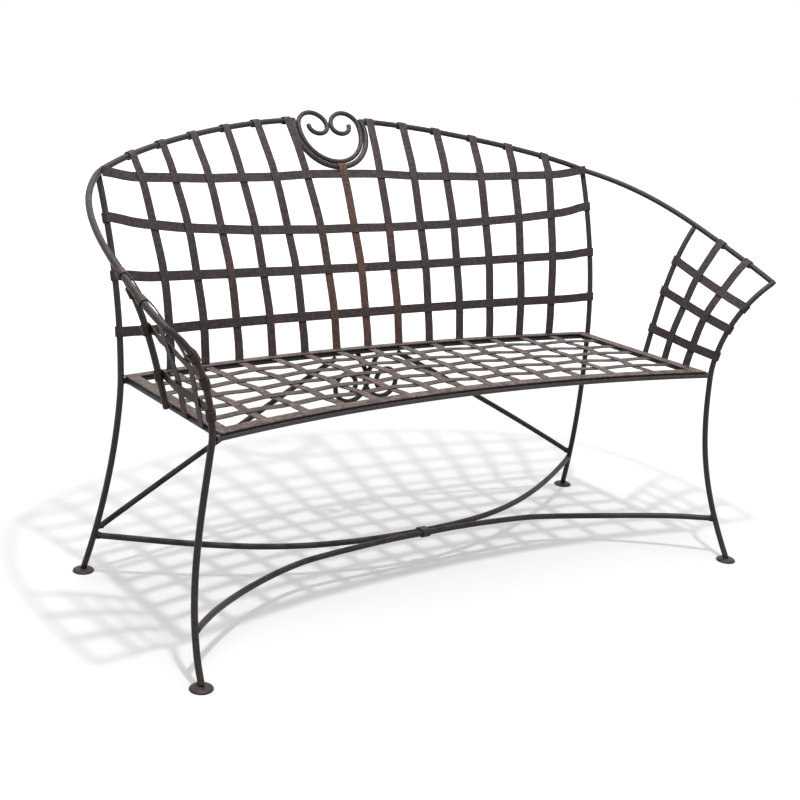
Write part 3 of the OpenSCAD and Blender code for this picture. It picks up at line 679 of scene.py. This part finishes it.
# %% [markdown]
# ## Floor and light
# The bench stands on a white sheet under one lamp high over its front left corner. That
# lamp is a small bright disk inside a wide dim one, so that each shadow has a crisp heart
# and a soft rim. A wide lamp right above adds the haze under the front of the seat, and
# soft light comes from all round. The floor shows nearly white to the camera and keeps the
# shadow, but gives less light back to the underside of the seat, which stays dark. Further
# out it fades into the white background.

# %% Floor
FLOOR_HALF = 14
# Distances from the bench's middle between which the shadow fades out
FADE = (1.2, 2.4)
SHOWN_SHADOW = 0.74
# Distances between which the glow grows, and its strength at each of them
GLOW = (0.3, 1.1, 1.2, 1.5)
FLOOR_WHITE = 0.95
FLOOR_BOUNCE = 0.22


def seen_directly(add, link):
    """A share that is 1 for rays that show the floor or the sky, also in a reflection or
    through glass, and 0 for rays that only carry light."""
    path, seen, through = (add("ShaderNode" + kind) for kind in ("LightPath", "Math", "Math"))
    seen.operation = through.operation = "MAXIMUM"
    link(path.outputs["Is Camera Ray"], seen.inputs[0])
    link(path.outputs["Is Glossy Ray"], seen.inputs[1])
    link(seen.outputs[0], through.inputs[0])
    link(path.outputs["Is Transmission Ray"], through.inputs[1])
    return through.outputs[0]


def floor_material():
    """White with the bench's shadow where it is seen, and a duller white to bounce light."""
    material = bpy.data.materials.new("floor_white")
    material.use_nodes = True
    tree = material.node_tree
    tree.nodes.clear()
    add, link = tree.nodes.new, tree.links.new
    place, far = add("ShaderNodeTexCoord"), add("ShaderNodeVectorMath")
    fade, brighter = add("ShaderNodeMapRange"), add("ShaderNodeMapRange")
    plain, bounce = add("ShaderNodeBsdfDiffuse"), add("ShaderNodeBsdfDiffuse")
    glow, end = add("ShaderNodeEmission"), add("ShaderNodeOutputMaterial")
    shown, out = add("ShaderNodeMixShader"), add("ShaderNodeMixShader")
    plain.inputs["Color"].default_value = [FLOOR_WHITE] * 3 + [1]
    bounce.inputs["Color"].default_value = [FLOOR_BOUNCE] * 3 + [1]
    set_range(fade, (*FADE, 1 - SHOWN_SHADOW, 1))
    set_range(brighter, GLOW)
    far.operation = "LENGTH"
    link(place.outputs["Object"], far.inputs[0])
    link(far.outputs["Value"], fade.inputs["Value"])
    link(far.outputs["Value"], brighter.inputs["Value"])
    link(brighter.outputs["Result"], glow.inputs["Strength"])
    link(fade.outputs["Result"], shown.inputs["Fac"])
    link(plain.outputs[0], shown.inputs[1])
    link(glow.outputs[0], shown.inputs[2])
    link(seen_directly(add, link), out.inputs["Fac"])
    link(bounce.outputs[0], out.inputs[1])
    link(shown.outputs[0], out.inputs[2])
    link(out.outputs[0], end.inputs["Surface"])
    return material


floor_mesh = bpy.data.meshes.new("floor")
square = [(x * FLOOR_HALF, y * FLOOR_HALF, 0) for x, y in ((-1, -1), (1, -1), (1, 1), (-1, 1))]
floor_mesh.from_pydata(square, [], [(0, 1, 2, 3)])
floor = bpy.data.objects.new("floor", floor_mesh)
bpy.context.scene.collection.objects.link(floor)
floor_mesh.materials.append(floor_material())
print("floor of", 2 * FLOOR_HALF, "by", 2 * FLOOR_HALF, "m")

# %% Lamps
LAMP_AIM = Vector((0, 0, 0.4))
LAMP_AT = (-0.44, -1.04, 4.06)
ABOVE_AT = (0.1, 0.35, 3.0)
# Place, width and power of each lamp
LAMPS = {"lamp_core": (LAMP_AT, 0.2, 70), "lamp_halo": (LAMP_AT, 1.3, 26),
         "lamp_above": (ABOVE_AT, 2.0, 30)}

for name, (place, width, power) in LAMPS.items():
    lamp_data = bpy.data.lights.new(name, "AREA")
    lamp_data.energy = power
    lamp_data.shape = "DISK"
    lamp_data.size = width
    lamp = bpy.data.objects.new(name, lamp_data)
    bpy.context.scene.collection.objects.link(lamp)
    lamp.location = place
    lamp.rotation_euler = (LAMP_AIM - lamp.location).to_track_quat("-Z", "Y").to_euler()
print(len(LAMPS), "lamps")

# %% Light from all round
ROUND_LIGHT = 0.28

world = bpy.data.worlds.new("studio")
bpy.context.scene.world = world
world.use_nodes = True
world.node_tree.nodes.clear()
add, link = world.node_tree.nodes.new, world.node_tree.links.new
sky_light, sky_seen = add("ShaderNodeBackground"), add("ShaderNodeBackground")
sky_mix, sky_out = add("ShaderNodeMixShader"), add("ShaderNodeOutputWorld")
for sky in (sky_light, sky_seen):
    sky.inputs["Color"].default_value = (1, 1, 1, 1)
sky_light.inputs["Strength"].default_value = ROUND_LIGHT
link(seen_directly(add, link), sky_mix.inputs["Fac"])
link(sky_light.outputs[0], sky_mix.inputs[1])
link(sky_seen.outputs[0], sky_mix.inputs[2])
link(sky_mix.outputs[0], sky_out.inputs["Surface"])
bpy.context.scene.view_settings.view_transform = "Standard"
print("white all round, lighting the bench at", ROUND_LIGHT)
